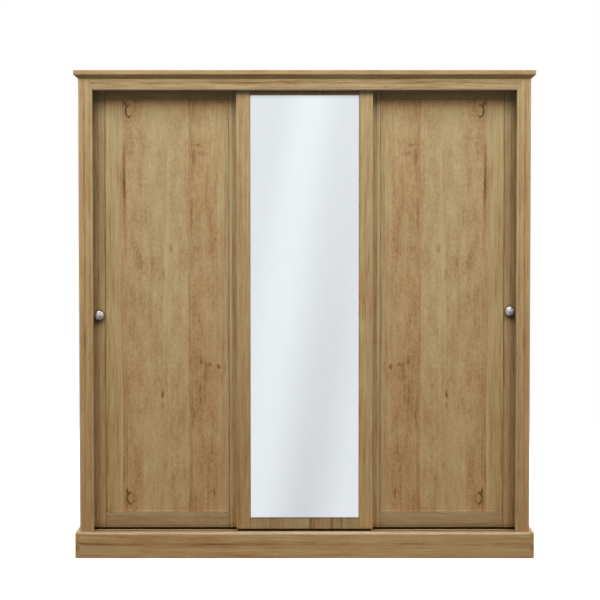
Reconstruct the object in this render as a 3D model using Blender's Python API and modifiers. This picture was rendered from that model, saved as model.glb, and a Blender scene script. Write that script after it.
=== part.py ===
"""Three-door sliding wardrobe with a central mirror door.

Metres, +Z up. The wardrobe faces -Y. The origin is on the floor, under the middle of the overall box.
The mirror door runs in the front lane and the two panelled doors share the rear lane.
"""

from math import pi, radians

import bmesh
import bpy
from mathutils import Matrix, Vector

# ---------------------------------------------------------------- driving sizes

OVERALL_WIDTH = 1.810
OVERALL_DEPTH = 0.590
OVERALL_HEIGHT = 1.920

GAP = 0.0003  # left between pieces that rest on or touch each other
EDGE_ROUND = 0.0006  # arris of an edged board

# Carcass
OVERHANG = 0.0175  # of the cornice and the plinth past the front and the sides
SIDE_THICKNESS = 0.016
SHELF_THICKNESS = 0.016
BOTTOM_THICKNESS = 0.016
TOP_THICKNESS = 0.0155
BACK_THICKNESS = 0.003
BACK_INSET = 0.013  # from the rear edges to the back panel
BACK_GROOVE_DEPTH = 0.006
BACK_HANGS_BELOW = 0.010  # the back panel laps the bottom panel's rear edge by this much past it

# Face frame, cornice and plinth
FACE_THICKNESS = 0.018
FACE_STILE_WIDTH = 0.055
FACE_RAIL_SHOWING = 0.0447  # height of the top rail that shows under the moulding
FACE_ROUND = 0.006
MITRE_RUN = 0.007  # the moulded edge is mitred over this width at the corners
MOULDING_HEIGHT = 0.0172
MOULDING_LIP = 0.001
PLINTH_HEIGHT = 0.1018
PLINTH_ROUND = 0.0095

# Doors
DOOR_THICKNESS = 0.018
FACE_TO_DOOR = 0.006  # running clearance behind the face frame
UNDER_DOOR = 0.008  # from the bottom panel to a door
OVER_DOOR = 0.0345  # from a door to the top board
DOOR_EDGE_ROUND = 0.0012

MIRROR_DOOR_WIDTH = 0.538
MIRROR_STILE_WIDTH = 0.0538
MIRROR_RAIL_HEIGHT = 0.0448
MIRROR_THICKNESS = 0.004
MIRROR_INSET = 0.001
BACKING_INSET = 0.001

COVER_AT_SIDE = 0.0125  # of an outer door behind its face stile
COVER_AT_MIRROR = 0.025  # of an outer door behind the mirror door
PANEL_STILE_WIDTH = 0.055
PANEL_RAIL_HEIGHT = 0.0587
PANEL_BEVEL = 0.015
PANEL_SINK = 0.0025  # from the top of the bevel to the flat field
PANEL_QUIRK = 0.0025  # the panel's rim lies this far behind the frame
PANEL_BACK_INSET = 0.002

# Knobs
KNOB_DIAMETER = 0.0365
KNOB_PROJECTION = 0.026
KNOB_BASE_DIAMETER = 0.022
KNOB_NECK_DIAMETER = 0.013
KNOB_FROM_EDGE = 0.0315
LEFT_KNOB_HEIGHT = 0.956
RIGHT_KNOB_HEIGHT = 0.973
KNOB_CLEARANCE = 0.004  # between a knob and the back of the mirror door

# Lower tracks and door rollers
TRACK_WIDTH = 0.012
TRACK_DEPTH = 0.0075
TRACK_WALL = 0.0012
ROLLER_RADIUS = 0.015
ROLLER_WIDTH = 0.0064
ROLLER_CROWN = 0.0008
AXLE_RADIUS = 0.002
AXLE_CLEARANCE = 0.0001
HOUSING_LENGTH = 0.042
HOUSING_WIDTH = 0.0114
HOUSING_SHEET = 0.0015
HOUSING_BELOW_AXLE = 0.004
ROLLER_HEADROOM = 0.008  # from the roller to the housing's crown
ROLLER_FROM_RAIL_END = 0.065

# Upper track and sprung guides
CHANNEL_WIDTH = 0.009
CHANNEL_WALL = 0.0018
CHANNEL_CROWN = 0.0016
CHANNEL_OVER_DOOR = 0.006  # from a door up to the rims of the upper track
GUIDE_LENGTH = 0.020
GUIDE_THICKNESS = 0.0074
GUIDE_REACH = 0.018  # of the guide above the door
GUIDE_EMBED = 0.018  # of the guide in the door
GUIDE_TRAVEL = 0.0125
GUIDE_SPRING_SOLID = 0.0035  # room for the closed spring under the guide
GUIDE_ROUND = 0.0025
GUIDE_FROM_RAIL_END = 0.045

# Interior
PARTITION_BEHIND_DOORS = 0.012
SHELF_SETBACK = 0.010  # of the centre shelves from the front of the partitions
SPACE_OVER_TOP_SHELF = 0.3085
CENTRE_SHELVES = 2
HANGING_RAIL_DIAMETER = 0.025
HANGING_RAIL_WALL = 0.0012
HANGING_RAIL_DROP = 0.045  # from the top shelf to the rail's axis

ROUND_STEPS = 32

# ---------------------------------------------------------------- derived places

FRONT = -OVERALL_DEPTH / 2
REAR = OVERALL_DEPTH / 2
FACE = FRONT + OVERHANG
FACE_BACK = FACE + FACE_THICKNESS
HALF_WIDTH = OVERALL_WIDTH / 2
HALF_BODY = HALF_WIDTH - OVERHANG
HALF_INSIDE = HALF_BODY - SIDE_THICKNESS
HALF_OPENING = HALF_BODY - FACE_STILE_WIDTH

UNDER_TOP = OVERALL_HEIGHT - TOP_THICKNESS
FACE_RAIL_BOTTOM = UNDER_TOP - MOULDING_HEIGHT - FACE_RAIL_SHOWING
BOTTOM_PANEL_UNDER = PLINTH_HEIGHT - BOTTOM_THICKNESS
BACK_FRONT = REAR - BACK_INSET - BACK_THICKNESS
INSIDE_REAR = BACK_FRONT - GAP

DOOR_BOTTOM = PLINTH_HEIGHT + UNDER_DOOR
DOOR_TOP = UNDER_TOP - OVER_DOOR
LANE_PITCH = DOOR_THICKNESS + KNOB_PROJECTION + KNOB_CLEARANCE
FRONT_LANE = FACE_BACK + FACE_TO_DOOR + DOOR_THICKNESS / 2
REAR_LANE = FRONT_LANE + LANE_PITCH

HALF_MIRROR_DOOR = MIRROR_DOOR_WIDTH / 2
OUTER_DOOR_FAR = HALF_OPENING + COVER_AT_SIDE
OUTER_DOOR_NEAR = HALF_MIRROR_DOOR - COVER_AT_MIRROR

TRACK_FLOOR = PLINTH_HEIGHT - TRACK_DEPTH + TRACK_WALL
ROLLER_AXIS = TRACK_FLOOR + GAP + ROLLER_RADIUS
HOUSING_BOTTOM = ROLLER_AXIS - HOUSING_BELOW_AXLE
HOUSING_TOP = ROLLER_AXIS + ROLLER_RADIUS + ROLLER_HEADROOM
CHANNEL_RIM = DOOR_TOP + CHANNEL_OVER_DOOR

PARTITION_FRONT = REAR_LANE + DOOR_THICKNESS / 2 + PARTITION_BEHIND_DOORS
TOP_SHELF_TOP = UNDER_TOP - SPACE_OVER_TOP_SHELF
TOP_SHELF_UNDER = TOP_SHELF_TOP - SHELF_THICKNESS
BAY_WIDTH = (2 * HALF_INSIDE - 2 * SHELF_THICKNESS) / 3
HALF_CENTRE_BAY = BAY_WIDTH / 2
RAIL_AXIS_HEIGHT = TOP_SHELF_UNDER - HANGING_RAIL_DROP
RAIL_AXIS_DEPTH = (PARTITION_FRONT + INSIDE_REAR) / 2

# ---------------------------------------------------------------- scene

for old in list(bpy.data.objects):
    bpy.data.objects.remove(old)

wardrobe = bpy.data.collections.new("sliding_wardrobe")
cutters = bpy.data.collections.new("cutters")
bpy.context.scene.collection.children.link(wardrobe)
bpy.context.scene.collection.children.link(cutters)


def make_material(name, color, roughness, metallic=0.0):
    """A plain Principled material."""
    material = bpy.data.materials.new(name)
    material.use_nodes = True
    material.diffuse_color = (*color, 1.0)
    shader = material.node_tree.nodes["Principled BSDF"]
    shader.inputs["Base Color"].default_value = (*color, 1.0)
    shader.inputs["Roughness"].default_value = roughness
    shader.inputs["Metallic"].default_value = metallic
    return material


OAK = make_material("oak_laminate", (0.40, 0.27, 0.13), 0.55)
HARDBOARD = make_material("back_hardboard", (0.33, 0.22, 0.12), 0.75)
MIRROR = make_material("mirror_glass", (0.86, 0.89, 0.91), 0.03, 1.0)
NICKEL = make_material("brushed_nickel", (0.55, 0.54, 0.52), 0.32, 1.0)
CHROME = make_material("chrome_tube", (0.75, 0.76, 0.78), 0.12, 1.0)
TRACK = make_material("track_plastic", (0.10, 0.075, 0.05), 0.50)
ALUMINIUM = make_material("track_aluminium", (0.45, 0.44, 0.42), 0.40, 1.0)
STEEL = make_material("zinced_steel", (0.50, 0.51, 0.53), 0.38, 1.0)
NYLON = make_material("white_nylon", (0.78, 0.77, 0.73), 0.45)


# ---------------------------------------------------------------- modelling helpers


def place(obj, location, parent=None):
    """Puts an object at a world location, under an unrotated empty if one is given."""
    obj.location = Vector(location)
    if parent:
        obj.parent = parent
        obj.location -= parent.location


def add_piece(name, mesh, material, location=(0, 0, 0), parent=None):
    """Links one sub-part to the wardrobe."""
    obj = bpy.data.objects.new(name, mesh)
    mesh.materials.clear()
    mesh.materials.append(material)
    wardrobe.objects.link(obj)
    place(obj, location, parent)
    return obj


def add_cutter(name, mesh, location, parent=None):
    """Links a helper that shapes another piece and isn't one itself."""
    obj = bpy.data.objects.new(name, mesh)
    cutters.objects.link(obj)
    obj.hide_render = True
    obj.display_type = "WIRE"
    place(obj, location, parent)
    return obj


def add_axis(name, location):
    """An empty that carries one moving group."""
    empty = bpy.data.objects.new(name, None)
    wardrobe.objects.link(empty)
    empty.location = Vector(location)
    return empty


def box_mesh(name, size):
    """A box centred on its own origin."""
    mesh = bpy.data.meshes.new(name)
    bm = bmesh.new()
    bmesh.ops.create_cube(bm, size=1.0)
    bmesh.ops.scale(bm, vec=size, verts=bm.verts)
    bm.to_mesh(mesh)
    bm.free()
    return mesh


def span(low, high):
    """The middle and the size of a box given by two corners."""
    low, high = Vector(low), Vector(high)
    return (low + high) / 2, high - low


def soften(obj, width, segments=1):
    """Rounds every square edge of a piece."""
    bevel = obj.modifiers.new("soft_edges", "BEVEL")
    bevel.limit_method = "ANGLE"
    bevel.angle_limit = radians(60)
    bevel.width = width
    bevel.segments = segments


def board(name, low, high, material=OAK, parent=None, edge=EDGE_ROUND):
    """A board between two corners, with its arrises eased."""
    middle, size = span(low, high)
    obj = add_piece(name, box_mesh(name, size), material, middle, parent)
    soften(obj, edge)
    return obj


def round_edges(obj, chosen, radius, segments=4):
    """Rounds only the edges whose two ends both satisfy chosen."""
    bm = bmesh.new()
    bm.from_mesh(obj.data)
    weights = bm.edges.layers.float.new("bevel_weight_edge")
    for edge in bm.edges:
        edge[weights] = float(all(chosen(vert.co) for vert in edge.verts))
    bm.to_mesh(obj.data)
    bm.free()
    bevel = obj.modifiers.new("rounded_edge", "BEVEL")
    bevel.limit_method = "WEIGHT"
    bevel.width = radius
    bevel.segments = segments
    obj.data.shade_smooth()
    obj.data.set_sharp_from_angle(angle=radians(35))


TO_PLANE = {
    "XY": Matrix.Identity(4),
    "XZ": Matrix.Rotation(pi / 2, 4, "X"),
    "YZ": Matrix.Rotation(pi / 2, 4, "Z") @ Matrix.Rotation(pi / 2, 4, "X"),
}


def extruded_mesh(name, outline, plane, length):
    """A flat outline in the named plane, extruded both ways by half the length."""
    curve = bpy.data.curves.new(name, "CURVE")
    curve.dimensions = "2D"
    curve.fill_mode = "BOTH"
    curve.extrude = length / 2
    spline = curve.splines.new("POLY")
    spline.points.add(len(outline) - 1)
    for point, (across, along) in zip(spline.points, outline):
        point.co = (across, along, 0, 1)
    spline.use_cyclic_u = True
    guide = bpy.data.objects.new(name + "_outline", curve)
    cutters.objects.link(guide)
    graph = bpy.context.evaluated_depsgraph_get()
    mesh = bpy.data.meshes.new_from_object(guide.evaluated_get(graph))
    bpy.data.objects.remove(guide)
    mesh.name = name
    bm = bmesh.new()
    bm.from_mesh(mesh)
    bmesh.ops.remove_doubles(bm, verts=bm.verts, dist=1e-6)
    for end in (-1, 1):
        cap = [face for face in bm.faces if all(end * vert.co.z > 0 for vert in face.verts)]
        bmesh.ops.dissolve_faces(bm, faces=cap)
    bmesh.ops.transform(bm, matrix=TO_PLANE[plane], verts=bm.verts)
    bmesh.ops.recalc_face_normals(bm, faces=bm.faces)
    bm.to_mesh(mesh)
    bm.free()
    return mesh


def cut_end(obj, point, outward):
    """Saws a piece off square to outward at a world point, and closes the cut."""
    bm = bmesh.new()
    bm.from_mesh(obj.data)
    cut = bmesh.ops.bisect_plane(
        bm,
        geom=bm.verts[:] + bm.edges[:] + bm.faces[:],
        plane_co=Vector(point) - obj.location,
        plane_no=outward,
        clear_outer=True,
    )
    rim = [part for part in cut["geom_cut"] if isinstance(part, bmesh.types.BMEdge)]
    bmesh.ops.contextual_create(bm, geom=rim)
    bmesh.ops.recalc_face_normals(bm, faces=bm.faces)
    bm.to_mesh(obj.data)
    bm.free()


def turned(name, profile, material, location, rotation, parent=None, closed=False):
    """A profile of (radius, height) points turned about its own Z axis."""
    mesh = bpy.data.meshes.new(name)
    bm = bmesh.new()
    points = [bm.verts.new((radius, 0, height)) for radius, height in profile]
    for first, second in zip(points, points[1:]):
        bm.edges.new((first, second))
    if closed:
        bm.edges.new((points[-1], points[0]))
    bm.to_mesh(mesh)
    bm.free()
    obj = add_piece(name, mesh, material, location, parent)
    obj.rotation_euler = rotation
    screw = obj.modifiers.new("turned", "SCREW")
    screw.steps = ROUND_STEPS
    screw.render_steps = ROUND_STEPS
    screw.use_merge_vertices = True
    screw.merge_threshold = 0.00001
    screw.use_smooth_shade = True
    return obj


def subtract(obj, cutter):
    cut = obj.modifiers.new("cut_" + cutter.name, "BOOLEAN")
    cut.operation = "DIFFERENCE"
    cut.solver = "EXACT"
    cut.object = cutter


def join(obj, helper):
    union = obj.modifiers.new("join_" + helper.name, "BOOLEAN")
    union.operation = "UNION"
    union.solver = "EXACT"
    union.object = helper


SIDES = (("left", -1), ("right", 1))


def sided(side, near, far):
    """The lower and the higher X of a stretch that runs from near to far on one side."""
    return sorted((side * near, side * far))


# ---------------------------------------------------------------- carcass


def make_side_panel(word, side):
    """A side with a groove near its rear edge for the back panel."""
    inner = HALF_INSIDE
    groove = inner + BACK_GROOVE_DEPTH
    outline = [
        (side * HALF_BODY, FACE_BACK + GAP),
        (side * HALF_BODY, REAR),
        (side * inner, REAR),
        (side * inner, BACK_FRONT + BACK_THICKNESS + GAP),
        (side * groove, BACK_FRONT + BACK_THICKNESS + GAP),
        (side * groove, BACK_FRONT - GAP),
        (side * inner, BACK_FRONT - GAP),
        (side * inner, FACE_BACK + GAP),
    ]
    height = UNDER_TOP - GAP
    mesh = extruded_mesh(word + "_side_panel", outline, "XY", height)
    add_piece(word + "_side_panel", mesh, OAK, (0, 0, height / 2))


def make_bottom_panel():
    """The bottom panel, notched round the feet of the face stiles and grooved for the lower tracks."""
    half = HALF_INSIDE - GAP
    half_front = HALF_OPENING - GAP
    notch = FACE_BACK + GAP
    outline = [
        (-half_front, FACE),
        (half_front, FACE),
        (half_front, notch),
        (half, notch),
        (half, INSIDE_REAR),
        (-half, INSIDE_REAR),
        (-half, notch),
        (-half_front, notch),
    ]
    mesh = extruded_mesh("bottom_panel", outline, "XY", BOTTOM_THICKNESS)
    panel = add_piece("bottom_panel", mesh, OAK, (0, 0, PLINTH_HEIGHT - BOTTOM_THICKNESS / 2))
    for word, lane in (("front", FRONT_LANE), ("rear", REAR_LANE)):
        half_groove = TRACK_WIDTH / 2 + GAP
        middle, size = span(
            (-HALF_BODY, lane - half_groove, PLINTH_HEIGHT - TRACK_DEPTH - GAP),
            (HALF_BODY, lane + half_groove, PLINTH_HEIGHT + TRACK_DEPTH),
        )
        name = word + "_track_groove"
        subtract(panel, add_cutter(name, box_mesh(name, size), middle))


def make_back_panel():
    half = HALF_INSIDE + BACK_GROOVE_DEPTH - GAP
    board(
        "back_panel",
        (-half, BACK_FRONT, BOTTOM_PANEL_UNDER - BACK_HANGS_BELOW),
        (half, BACK_FRONT + BACK_THICKNESS, UNDER_TOP - GAP),
        HARDBOARD,
        edge=BACK_THICKNESS / 10,
    )


def make_interior():
    """Two partitions, one long top shelf over them, and shelves in the centre bay."""
    for word, side in SIDES:
        low_x, high_x = sided(side, HALF_CENTRE_BAY, HALF_CENTRE_BAY + SHELF_THICKNESS)
        board(
            word + "_partition",
            (low_x, PARTITION_FRONT, PLINTH_HEIGHT + GAP),
            (high_x, INSIDE_REAR, TOP_SHELF_UNDER - GAP),
        )
    board(
        "top_shelf",
        (-HALF_INSIDE + GAP, PARTITION_FRONT, TOP_SHELF_UNDER),
        (HALF_INSIDE - GAP, INSIDE_REAR, TOP_SHELF_TOP),
    )
    clear = TOP_SHELF_UNDER - PLINTH_HEIGHT - CENTRE_SHELVES * SHELF_THICKNESS
    rise = clear / (CENTRE_SHELVES + 1) + SHELF_THICKNESS
    for number in range(1, CENTRE_SHELVES + 1):
        top = PLINTH_HEIGHT + number * rise
        board(
            f"centre_shelf_{number}",
            (-HALF_CENTRE_BAY + GAP, PARTITION_FRONT + SHELF_SETBACK, top - SHELF_THICKNESS),
            (HALF_CENTRE_BAY - GAP, INSIDE_REAR, top),
        )


def make_hanging_rails():
    """A tube across each outer bay, from the side panel to the partition."""
    outer = HANGING_RAIL_DIAMETER / 2
    inner = outer - HANGING_RAIL_WALL
    near = HALF_CENTRE_BAY + SHELF_THICKNESS + GAP
    far = HALF_INSIDE - GAP
    half = (far - near) / 2
    profile = [(outer, half), (outer, -half), (inner, -half), (inner, half)]
    for word, side in SIDES:
        middle = (side * (near + far) / 2, RAIL_AXIS_DEPTH, RAIL_AXIS_HEIGHT)
        turned(word + "_hanging_rail", profile, CHROME, middle, (0, pi / 2, 0), closed=True)


# ---------------------------------------------------------------- face frame, cornice, plinth


def make_face_stile(word, side):
    """A stile from the floor to the top board, mitred at the inner moulded edge."""
    top = UNDER_TOP - GAP
    outline = [
        (side * HALF_BODY, 0),
        (side * HALF_BODY, top),
        (side * (HALF_OPENING + MITRE_RUN), top),
        (side * (HALF_OPENING + MITRE_RUN), FACE_RAIL_BOTTOM + MITRE_RUN),
        (side * HALF_OPENING, FACE_RAIL_BOTTOM),
        (side * HALF_OPENING, 0),
    ]
    mesh = extruded_mesh(word + "_face_stile", outline, "XZ", FACE_THICKNESS)
    stile = add_piece(word + "_face_stile", mesh, OAK, (0, (FACE + FACE_BACK) / 2, 0))

    def inner_front(co):
        return co.y < 0 and abs(abs(co.x) - HALF_OPENING) < GAP

    round_edges(stile, inner_front, FACE_ROUND)


def make_face_top_rail():
    half_top = HALF_OPENING + MITRE_RUN - 1.5 * GAP
    half_bottom = HALF_OPENING - 1.5 * GAP
    outline = [
        (-half_bottom, FACE_RAIL_BOTTOM),
        (half_bottom, FACE_RAIL_BOTTOM),
        (half_top, FACE_RAIL_BOTTOM + MITRE_RUN),
        (half_top, UNDER_TOP - GAP),
        (-half_top, UNDER_TOP - GAP),
        (-half_top, FACE_RAIL_BOTTOM + MITRE_RUN),
    ]
    mesh = extruded_mesh("face_top_rail", outline, "XZ", FACE_THICKNESS)
    rail = add_piece("face_top_rail", mesh, OAK, (0, (FACE + FACE_BACK) / 2, 0))

    def lower_front(co):
        return co.y < 0 and abs(co.z - FACE_RAIL_BOTTOM) < GAP

    round_edges(rail, lower_front, FACE_ROUND)


def make_cornice():
    """The top board, with a sloped moulding under its front and side overhangs."""
    board("top_board", (-HALF_WIDTH, FRONT, UNDER_TOP), (HALF_WIDTH, REAR, OVERALL_HEIGHT))
    top = UNDER_TOP - GAP
    lip = top - MOULDING_LIP
    foot = UNDER_TOP - MOULDING_HEIGHT
    profile = [(FRONT, top), (FRONT, lip), (FACE - GAP, foot), (FACE - GAP, top)]
    mesh = extruded_mesh("cornice_moulding_front", profile, "YZ", 2 * HALF_WIDTH)
    front = add_piece("cornice_moulding_front", mesh, OAK)
    for side in (-1, 1):
        cut_end(front, (side * (HALF_WIDTH - GAP), FRONT, 0), Vector((side, 1, 0)))
    for word, side in SIDES:
        name = "cornice_moulding_" + word
        outline = [
            (side * HALF_WIDTH, top),
            (side * HALF_WIDTH, lip),
            (side * (HALF_BODY + GAP), foot),
            (side * (HALF_BODY + GAP), top),
        ]
        mesh = extruded_mesh(name, outline, "XZ", OVERALL_DEPTH)
        moulding = add_piece(name, mesh, OAK)
        cut_end(moulding, (side * HALF_WIDTH, FRONT + GAP / 2, 0), Vector((-side, -1, 0)))


def make_plinth():
    """A front board between two side boards that run to the rear; the upper front edge is rounded."""
    side_inner = HALF_BODY + GAP
    middle, size = span((-HALF_BODY, FRONT, 0), (HALF_BODY, FACE - GAP, PLINTH_HEIGHT))
    front = add_piece("plinth_front", box_mesh("plinth_front", size), OAK, middle)
    round_edges(front, lambda co: co.y < 0 and co.z > 0, PLINTH_ROUND)
    for word, side in SIDES:
        low_x, high_x = sided(side, side_inner, HALF_WIDTH)
        name = "plinth_side_" + word
        middle, size = span((low_x, FRONT, 0), (high_x, REAR, PLINTH_HEIGHT))
        plinth_side = add_piece(name, box_mesh(name, size), OAK, middle)
        round_edges(plinth_side, lambda co: co.y < 0 and co.z > 0, PLINTH_ROUND)


# ---------------------------------------------------------------- tracks


def make_lower_track(word, lane):
    """A channel set flush in the bottom panel."""
    half = TRACK_WIDTH / 2
    inner = half - TRACK_WALL
    top = PLINTH_HEIGHT
    bottom = PLINTH_HEIGHT - TRACK_DEPTH
    profile = [
        (-half, bottom),
        (half, bottom),
        (half, top),
        (inner, top),
        (inner, TRACK_FLOOR),
        (-inner, TRACK_FLOOR),
        (-inner, top),
        (-half, top),
    ]
    name = "lower_track_" + word
    mesh = extruded_mesh(name, profile, "YZ", 2 * (HALF_INSIDE - GAP))
    add_piece(name, mesh, TRACK, (0, lane, 0))


def make_upper_track():
    """A double channel under the top board, open downwards, one channel over each lane."""
    wall = CHANNEL_WIDTH / 2 + CHANNEL_WALL
    inner = CHANNEL_WIDTH / 2
    top = UNDER_TOP - GAP
    under = top - CHANNEL_CROWN
    profile = [(FRONT_LANE - wall, top), (FRONT_LANE - wall, CHANNEL_RIM)]
    for lane in (FRONT_LANE, REAR_LANE):
        if lane == REAR_LANE:
            profile += [(lane - wall, under), (lane - wall, CHANNEL_RIM)]
        profile += [
            (lane - inner, CHANNEL_RIM),
            (lane - inner, under),
            (lane + inner, under),
            (lane + inner, CHANNEL_RIM),
            (lane + wall, CHANNEL_RIM),
        ]
        if lane == FRONT_LANE:
            profile.append((lane + wall, under))
    profile.append((REAR_LANE + wall, top))
    mesh = extruded_mesh("upper_track", profile, "YZ", 2 * (HALF_INSIDE - GAP))
    add_piece("upper_track", mesh, ALUMINIUM)


# ---------------------------------------------------------------- doors


def make_door_frame(door, low_x, high_x, lane, stile_width, rail_height, parent):
    """Full-height stiles with rails between them. Returns the two rails."""
    front = lane - DOOR_THICKNESS / 2
    back = lane + DOOR_THICKNESS / 2
    left_inner = low_x + stile_width
    right_inner = high_x - stile_width

    def member(word, left, right, bottom, top):
        low = (left, front, bottom)
        high = (right, back, top)
        return board(door + word, low, high, parent=parent, edge=DOOR_EDGE_ROUND)

    member("_left_stile", low_x, left_inner, DOOR_BOTTOM, DOOR_TOP)
    member("_right_stile", right_inner, high_x, DOOR_BOTTOM, DOOR_TOP)
    rail_left = left_inner + GAP
    rail_right = right_inner - GAP
    bottom_rail = member("_bottom_rail", rail_left, rail_right, DOOR_BOTTOM, DOOR_BOTTOM + rail_height)
    top_rail = member("_top_rail", rail_left, rail_right, DOOR_TOP - rail_height, DOOR_TOP)
    return bottom_rail, top_rail


def housing_mesh(name):
    """A steel channel, open below, centred on the roller's axis."""
    half = HOUSING_WIDTH / 2
    inner = half - HOUSING_SHEET
    bottom = HOUSING_BOTTOM - ROLLER_AXIS
    top = HOUSING_TOP - ROLLER_AXIS
    profile = [
        (-half, bottom),
        (-half, top),
        (half, top),
        (half, bottom),
        (inner, bottom),
        (inner, top - HOUSING_SHEET),
        (-inner, top - HOUSING_SHEET),
        (-inner, bottom),
    ]
    return extruded_mesh(name, profile, "YZ", HOUSING_LENGTH)


def axle_mesh(name):
    """The pin that the roller turns on, let into both cheeks of its housing."""
    mesh = bpy.data.meshes.new(name)
    bm = bmesh.new()
    bmesh.ops.create_cone(
        bm,
        cap_ends=True,
        segments=ROUND_STEPS,
        radius1=AXLE_RADIUS,
        radius2=AXLE_RADIUS,
        depth=HOUSING_WIDTH - HOUSING_SHEET,
        matrix=Matrix.Rotation(pi / 2, 4, "X"),
    )
    bm.to_mesh(mesh)
    bm.free()
    return mesh


def make_roller_set(door, word, x, lane, rail, parent):
    """A roller in its housing, with the mortise in the bottom rail that holds it."""
    name = f"{door}_{word}"
    centre = (x, lane, ROLLER_AXIS)
    middle, size = span(
        (x - HOUSING_LENGTH / 2 - GAP, lane - HOUSING_WIDTH / 2 - GAP, DOOR_BOTTOM - HOUSING_WIDTH),
        (x + HOUSING_LENGTH / 2 + GAP, lane + HOUSING_WIDTH / 2 + GAP, HOUSING_TOP + GAP),
    )
    mortise = add_cutter(name + "_mortise", box_mesh(name + "_mortise", size), middle, parent)
    subtract(rail, mortise)
    housing = add_piece(
        name + "_roller_housing", housing_mesh(name + "_housing"), STEEL, centre, parent
    )
    join(housing, add_cutter(name + "_axle", axle_mesh(name + "_axle"), centre, parent))
    half = ROLLER_WIDTH / 2
    bore = AXLE_RADIUS + AXLE_CLEARANCE
    shoulder = ROLLER_RADIUS - ROLLER_CROWN
    profile = [
        (bore, half),
        (shoulder, half),
        (ROLLER_RADIUS, half - ROLLER_CROWN),
        (ROLLER_RADIUS, ROLLER_CROWN - half),
        (shoulder, -half),
        (bore, -half),
    ]
    turned(name + "_roller", profile, NYLON, centre, (pi / 2, 0, 0), parent, closed=True)


def make_guide(door, word, x, lane, rail, parent):
    """A sprung guide that reaches from a pocket in the top rail into the upper track."""
    name = f"{door}_{word}"
    half_length = GUIDE_LENGTH / 2
    half_thick = GUIDE_THICKNESS / 2
    pocket_floor = DOOR_TOP - GUIDE_EMBED - GUIDE_TRAVEL - GUIDE_SPRING_SOLID
    middle, size = span(
        (x - half_length - GAP, lane - half_thick - GAP, pocket_floor),
        (x + half_length + GAP, lane + half_thick + GAP, DOOR_TOP + GUIDE_EMBED),
    )
    pocket = add_cutter(name + "_pocket", box_mesh(name + "_pocket", size), middle, parent)
    subtract(rail, pocket)
    middle, size = span(
        (x - half_length, lane - half_thick, DOOR_TOP - GUIDE_EMBED),
        (x + half_length, lane + half_thick, DOOR_TOP + GUIDE_REACH),
    )
    mesh = box_mesh(name + "_top_guide", size)
    guide = add_piece(name + "_top_guide", mesh, NYLON, middle, parent)
    round_edges(guide, lambda co: True, GUIDE_ROUND, segments=3)


def fit_door(door, low_x, high_x, stile_width, lane, rails, parent):
    """Rollers under a door and guides over it, set in from the ends of its rails."""
    bottom_rail, top_rail = rails
    ends = (("left", low_x + stile_width, 1), ("right", high_x - stile_width, -1))
    for word, end, inward in ends:
        roller_x = end + inward * ROLLER_FROM_RAIL_END
        guide_x = end + inward * GUIDE_FROM_RAIL_END
        make_roller_set(door, word, roller_x, lane, bottom_rail, parent)
        make_guide(door, word, guide_x, lane, top_rail, parent)


def make_knob(name, x, height, parent):
    """A turned knob: a foot against the stile, a neck and a shallow domed head."""
    head = KNOB_DIAMETER / 2
    foot = KNOB_BASE_DIAMETER / 2
    neck = KNOB_NECK_DIAMETER / 2
    reach = KNOB_PROJECTION
    profile = [
        (0, reach),
        (head * 0.35, reach * 0.99),
        (head * 0.62, reach * 0.955),
        (head * 0.82, reach * 0.90),
        (head * 0.95, reach * 0.81),
        (head, reach * 0.70),
        (head * 0.95, reach * 0.60),
        (head * 0.72, reach * 0.50),
        (neck * 1.10, reach * 0.38),
        (neck, reach * 0.24),
        (foot * 0.92, reach * 0.10),
        (foot, reach * 0.05),
        (foot, 0),
        (0, 0),
    ]
    stile_face = REAR_LANE - DOOR_THICKNESS / 2 - GAP
    turned(name, profile, NICKEL, (x, stile_face, height), (pi / 2, 0, 0), parent)


def make_panel_door(word, side, knob_height):
    """An outer door: a frame round a sunk panel with a bevelled border."""
    door = word + "_door"
    low_x, high_x = sided(side, OUTER_DOOR_NEAR, OUTER_DOOR_FAR)
    parent = add_axis(door + "_slide", ((low_x + high_x) / 2, REAR_LANE, DOOR_BOTTOM))
    rails = make_door_frame(
        door, low_x, high_x, REAR_LANE, PANEL_STILE_WIDTH, PANEL_RAIL_HEIGHT, parent
    )
    front = REAR_LANE - DOOR_THICKNESS / 2 + PANEL_QUIRK
    back = REAR_LANE + DOOR_THICKNESS / 2 - PANEL_BACK_INSET
    middle, size = span(
        (low_x + PANEL_STILE_WIDTH + GAP, front, DOOR_BOTTOM + PANEL_RAIL_HEIGHT + GAP),
        (high_x - PANEL_STILE_WIDTH - GAP, back, DOOR_TOP - PANEL_RAIL_HEIGHT - GAP),
    )
    mesh = box_mesh(door + "_panel", size)
    bm = bmesh.new()
    bm.from_mesh(mesh)
    bm.faces.ensure_lookup_table()
    face = min(bm.faces, key=lambda candidate: candidate.calc_center_median().y)
    bmesh.ops.inset_region(bm, faces=[face], thickness=PANEL_BEVEL)
    bmesh.ops.translate(bm, vec=(0, PANEL_SINK, 0), verts=face.verts)
    bm.to_mesh(mesh)
    bm.free()
    add_piece(door + "_panel", mesh, OAK, middle, parent)
    knob_x = side * (OUTER_DOOR_FAR - KNOB_FROM_EDGE)
    make_knob(door + "_knob", knob_x, knob_height, parent)
    fit_door(door, low_x, high_x, PANEL_STILE_WIDTH, REAR_LANE, rails, parent)


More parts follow.
